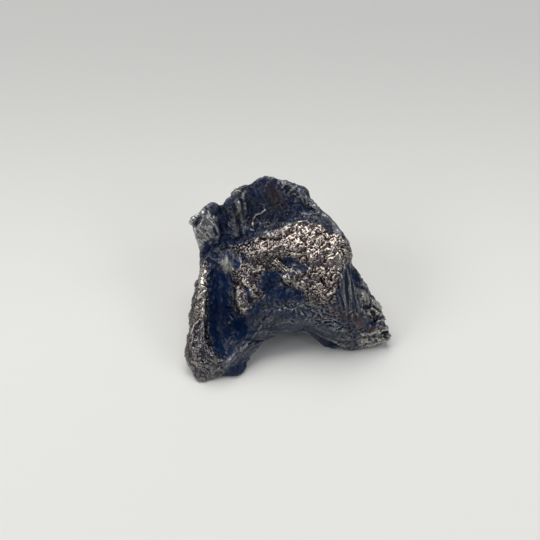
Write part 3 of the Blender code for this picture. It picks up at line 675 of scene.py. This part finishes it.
# The relief is lower near the table and on the flat, and the feet spread forward where they stand
SOLE_RELIEF = 0.4
FOOT_SPREAD = 0.4
sole_ease = SOLE_RELIEF + (1 - SOLE_RELIEF) * smooth_step(places[:, 2], 0.0, 2.5)
relief *= sole_ease * (1 - 0.7 * flat)
places += out * relief[:, None]
places[:, 1] -= FOOT_SPREAD * front * smooth_step(places[:, 2], 3.0, 0.0)
places[:, 2] = np.maximum(places[:, 2], 0)
skin.vertices.foreach_set("co", (places * MM).astype(np.float32).ravel())
skin.update()

# How far each place stands out of its surroundings: above 0.5 on a ridge, below it in a crease
SMOOTHED_STEPS = 12
RIDGE_GAIN = 4.5
ends = np.empty(len(skin.edges) * 2, np.int32)
skin.edges.foreach_get("vertices", ends)
ends = ends.reshape(-1, 2)
neighbours = np.bincount(ends.ravel(), minlength=len(places))[:, None]
level = places.copy()
for _ in range(SMOOTHED_STEPS):
    total = np.zeros_like(level)
    for axis in range(3):
        total[:, axis] = np.bincount(ends[:, 0], level[ends[:, 1], axis], len(level))
        total[:, axis] += np.bincount(ends[:, 1], level[ends[:, 0], axis], len(level))
    level = 0.5 * level + 0.5 * total / neighbours
standing_out = np.einsum("ij,ij->i", places - level, read(skin, "normal"))
ridge = np.clip(0.5 + 0.13 * ear + RIDGE_GAIN * (1 - 0.35 * ear) * standing_out, 0, 1)
above = ridge - 0.5

# How far the oxide is worn off to bare iron, and bared fully wherever a highlight is painted pale
ledge = stroke(2.6, (-5.6, 15.1), (-3.5, 15.6), (-1.0, 16.2))
speckle = smooth_step(noise_field(0.5, 12.0) + 0.6 * noise_field(2.6, 13.0), 0.1, 0.55)
metal = (
    peel + 0.95 * ear + 0.5 * leg + 0.4 * band + 0.25 * flakes + 0.3 * plate + 0.28 * wall + 0.08 * back
    + 0.5 * stroke(5.5, (-9.5, 15.4), (-4.0, 16.2))
    + 0.22 * stroke(5.0, (-9.6, 23.0), (-9.0, 17.5))
    + lip * (1 - peel) * (0.45 + 0.5 * above)
    + hem * (0.4 + 0.9 * above)
    + (0.6 * plain + 0.5 * back * (1 - peel)) * above
    + (0.3 * fin * (1 - peel) + 0.2 * plain) * speckle
)
metal = np.maximum(metal * (1 - 0.45 * toe - 0.3 * ledge), pale_and_glint)
metal = np.clip(metal * (1 - oxide_and_shade), 0, 1)

# How bright that iron is, with painted highlights on the right of the chest, on the crest of the shin
# and on the ear, how far it is grey steel instead of warm iron, how far the oxide over it is grey, and
# where it rusts
brightness_and_highlight = np.maximum.reduce([
    stroke(17.0, (2.0, 14.8), (8.0, 12.5)) * (1 - 0.6 * ledge),
    0.5 * stroke(9.0, (-5.5, 12.5), (0.0, 12.0)),
    0.65 * stroke(7.0, (6.5, 8.0), (6.0, 3.5)),
    # Painted highlight on the lit crest of the shin
    0.8 * stroke(4.0, (-16.2, 8.0), (-16.4, 0.0)),
    0.35 * stroke(5.0, (-17.5, 0.0), (-18.5, -10.0)),
    np.full(len(seen), 0.15), 0.4 * back, 0.9 * pale_and_glint, 0.6 * ear, 0.45 * hem,
])
steel = (1 - peel) * (1 - 0.5 * back) + (0.25 * foot + 0.1 * shin + 0.5 * toe) * peel
grey = 0.75 * np.clip(leg + wall + 0.5 * lip + 0.3 * ear, 0, 1) * (1 - oxide_and_shade) + 0.7 * back
rust = np.maximum.reduce([
    1.0 * stroke(1.7, (12.9, -0.9), (13.3, -2.1)),
    0.7 * stroke(0.9, (13.9, -3.7), (17.0, -3.2)),
    0.35 * stroke(3.4, (8.5, 0.2), (11.5, -1.2)),
    0.25 * stroke(2.4, (-9.6, 1.5), (-7.5, -0.5)),
    0.25 * stroke(5.0, (-3.8, 23.8), (-1.5, 20.8)),
    0.3 * stroke(1.6, (4.0, -4.2), (7.5, -5.9)),
    0.4 * stroke(2.0, (-19.0, -5.0), (-19.2, -7.0)),
])
surface = {
    "strands": strand_share, "grey": grey, "steel": steel, "metal": metal, "brightness_and_highlight": brightness_and_highlight,
    "ridge": ridge, "rust": rust, "oxide_and_shade": oxide_and_shade, "pale_and_glint": pale_and_glint, "matt": flat,
}
for name, values in surface.items():
    skin.attributes.new(name, "FLOAT", "POINT").data.foreach_set("value", values.astype(np.float32))
flow_rows = flow.astype(np.float32).ravel()
skin.attributes.new("flow", "FLOAT_VECTOR", "POINT").data.foreach_set("vector", flow_rows)
skin.update()

# Thinned to a mesh that is light enough to pass on, which keeps the most faces where it is rough
MOST_TRIANGLES = 196_000
skin = applied(skin, ("DECIMATE", {"ratio": MOST_TRIANGLES / (2 * len(skin.vertices))}))
skin.shade_smooth()
stone = bpy.data.objects.new("torn_iron", skin)
bpy.context.scene.collection.objects.link(stone)

# Oxidised nickel-iron: a blue-black oxide with the soft shine of old gun metal, rubbed through to the
# bare metal. Its lumps glint warm and their creases stay maroon, and what is drawn out in strands is
# steel grey.
OXIDE_DEEP = "#091b3e"
OXIDE_THIN = "#14294a"
OXIDE_BROWN = "#15131b"
OXIDE_GREY = "#142234"
CREASE_DULL = "#2a1d22"
CREASE_WARM = "#442a28"
CREASE_STEEL = "#151c2e"
IRON_DULL = "#6e6a6c"
IRON_BRIGHT_AND_HIGHLIT = "#ccc4b9"
STEEL_DULL = "#7f8389"
STEEL_BRIGHT_AND_HIGHLIT = "#b8b8bb"
IRON_PALE_AND_HIGHLIGHT = "#bdbbb2"
RUST = "#4e2c26"
iron, tree = new_material("oxidised_nickel_iron")
on_skin = {name: add_node(tree, "Attribute", {}, "Fac", attribute_name=name) for name in surface}
along_strands = add_node(tree, "Attribute", {}, "Vector", attribute_name="flow")
where = add_node(tree, "TexCoord", {}, "Object")

# Patterns: mm from lump to lump, and how much finer detail each holds. The real grit is finer than
# 0.1 mm, too fine to show, so it is drawn at 0.3 to 0.5 mm.
PATTERNS = {
    "grit": (0.5, 3.0),
    "fine grit": (0.3, 1.0),
    "bumps": (0.32, 1.0),
    "oxide": (0.9, 3.0),
    "blotches": (2.2, 2.0),
    "cracks": (0.85, 2.0),
}
pattern = {}
for name, (apart, detail) in PATTERNS.items():
    inputs = {"Vector": where, "Scale": 1 / (apart * MM), "Detail": detail}
    pattern[name] = add_node(tree, "TexNoise", inputs)
lines = add_node(tree, "TexNoise", {"Vector": along_strands, "Scale": 1.0, "Detail": 2.0})
lines = add_node(tree, "MapRange", {"Value": lines, "From Min": 0.4, "From Max": 0.6, "To Min": -1})
lines = add_node(tree, "Math", {0: lines, 1: on_skin["strands"]}, operation="MULTIPLY")

# The oxide: two blues in patches, brown-black blotches outside the deep hollows and the painted shade,
# and greyer on the strands, on the wall of the arch and on the back
patches = add_node(tree, "MapRange", {"Value": pattern["oxide"], "From Min": 0.35, "From Max": 0.65})
oxide = add_node(tree, "Mix", {"Factor": patches, 6: OXIDE_DEEP, 7: OXIDE_THIN}, 2, data_type="RGBA")
clear_of_oxide_and_shade = add_node(tree, "MapRange", {
    "Value": on_skin["oxide_and_shade"], "From Max": 0.5, "To Min": 0.85, "To Max": 0,
})
blotches = add_node(tree, "MapRange", {
    "Value": pattern["blotches"], "From Min": 0.48, "From Max": 0.62, "To Max": clear_of_oxide_and_shade,
})
oxide = add_node(tree, "Mix", {"Factor": blotches, 6: oxide, 7: OXIDE_BROWN}, 2, data_type="RGBA")
oxide = add_node(tree, "Mix", {"Factor": on_skin["grey"], 6: oxide, 7: OXIDE_GREY}, 2, data_type="RGBA")

# The bare metal: its creases, and its open face in warm iron, in steel and in pale iron, which also
# paints the highlights
crease = add_node(
    tree, "Mix", {"Factor": on_skin["brightness_and_highlight"], 6: CREASE_DULL, 7: CREASE_WARM}, 2, data_type="RGBA"
)
crease = add_node(
    tree, "Mix", {"Factor": on_skin["steel"], 6: crease, 7: CREASE_STEEL}, 2, data_type="RGBA"
)
# Where the brightness is raised, these brighter colours also paint the highlights
warm = add_node(
    tree, "Mix", {"Factor": on_skin["brightness_and_highlight"], 6: IRON_DULL, 7: IRON_BRIGHT_AND_HIGHLIT}, 2, data_type="RGBA"
)
cool = add_node(
    tree, "Mix", {"Factor": on_skin["brightness_and_highlight"], 6: STEEL_DULL, 7: STEEL_BRIGHT_AND_HIGHLIT}, 2, data_type="RGBA"
)
bare = add_node(tree, "Mix", {"Factor": on_skin["steel"], 6: warm, 7: cool}, 2, data_type="RGBA")
bare = add_node(tree, "Mix", {"Factor": on_skin["pale_and_glint"], 6: bare, 7: IRON_PALE_AND_HIGHLIGHT}, 2, data_type="RGBA")

# It shows its open face on the ridges, on the pale places and painted highlights, and on the high grit,
# and its crease colour in the creases, in the low grit and in hairline cracks, which run where a noise
# crosses its middle
crack = add_node(tree, "MapRange", {"Value": pattern["cracks"], "To Min": -1})
crack = add_node(tree, "Math", {0: crack}, operation="ABSOLUTE")
height = on_skin["ridge"]
for value, low, high, lowest, highest in (
    (pattern["fine grit"], 0.3, 0.7, -0.07, 0.07),
    (on_skin["pale_and_glint"], 0.5, 1.0, 0, 0.2),
    (pattern["grit"], 0.3, 0.7, -0.12, 0.12),
    (crack, 0, 0.09, -0.12, 0.03),
):
    part = {"Value": value, "From Min": low, "From Max": high, "To Min": lowest, "To Max": highest}
    part = add_node(tree, "MapRange", part)
    height = add_node(tree, "Math", {0: height, 1: part}, operation="ADD")
face = add_node(tree, "MapRange", {"Value": height, "From Min": 0.28, "From Max": 0.72})
bare = add_node(tree, "Mix", {"Factor": face, 6: crease, 7: bare}, 2, data_type="RGBA")

# The wear is broken up by the grit and follows the lines of the strands. Rust dulls it, and the flat on
# the rib's head is half matt.
wear = add_node(tree, "MapRange", {
    "Value": pattern["grit"], "From Min": 0.3, "From Max": 0.7, "To Min": 0.75, "To Max": 1.25,
})
wear = add_node(tree, "Math", {0: wear, 1: on_skin["metal"]}, operation="MULTIPLY")
line_wear = add_node(tree, "MapRange", {"Value": on_skin["metal"], "To Min": 0.5, "To Max": 0.6})
worn = add_node(tree, "Math", {
    0: lines, 1: line_wear, 2: wear,
}, operation="MULTIPLY_ADD", use_clamp=True)
rusty = add_node(tree, "MapRange", {
    "Value": pattern["grit"], "From Min": 0.3, "From Max": 0.5, "To Max": on_skin["rust"],
})
unrusted = add_node(tree, "MapRange", {"Value": rusty, "To Min": 1, "To Max": 0.45})
worn = add_node(tree, "Math", {0: worn, 1: unrusted}, operation="MULTIPLY")
colour = add_node(tree, "Mix", {"Factor": worn, 6: oxide, 7: bare}, 2, data_type="RGBA")
colour = add_node(tree, "Mix", {"Factor": rusty, 6: colour, 7: RUST}, 2, data_type="RGBA")
matt = add_node(tree, "MapRange", {"Value": on_skin["matt"], "To Min": 1, "To Max": 0.4})
metallic = add_node(tree, "Math", {0: worn, 1: matt}, operation="MULTIPLY")

# Worn metal is a little rougher than the oxide, and the deep hollows and the painted shade shine least
rough_grit = add_node(tree, "MapRange", {
    "Value": pattern["grit"], "From Min": 0.3, "From Max": 0.7, "To Min": -0.06, "To Max": 0.08,
})
rough = add_node(tree, "MapRange", {"Value": worn, "To Min": 0.19, "To Max": 0.22})
rough = add_node(tree, "Math", {0: rough, 1: rough_grit}, operation="ADD")
shine = add_node(tree, "MapRange", {"Value": on_skin["oxide_and_shade"], "To Min": 0.45, "To Max": 0.2})

# Bumps too small for the mesh, softer on worn metal, and the lines of the strands
BUMP_DEPTH = 0.05 * MM
rubbed = add_node(tree, "MapRange", {
    "Value": on_skin["metal"], "From Min": 0.3, "To Min": 1, "To Max": 0.6,
})
bumps = add_node(tree, "Math", {0: pattern["bumps"], 1: rubbed}, operation="MULTIPLY")
line_rise = add_node(tree, "MapRange", {"Value": on_skin["strands"], "To Max": 1.3})
rise = add_node(tree, "Math", {0: lines, 1: line_rise, 2: bumps}, operation="MULTIPLY_ADD")
normal = add_node(tree, "Bump", {"Height": rise, "Strength": 1.0, "Distance": BUMP_DEPTH})
finish = {
    "Base Color": colour, "Metallic": metallic, "Roughness": rough,
    "Specular IOR Level": shine, "Normal": normal,
}
shader = add_node(tree, "BsdfPrincipled", finish)
add_node(tree, "OutputMaterial", {"Surface": shader})
skin.materials.clear()
skin.materials.append(iron)
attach(stone, "root")
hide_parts("meteorite")
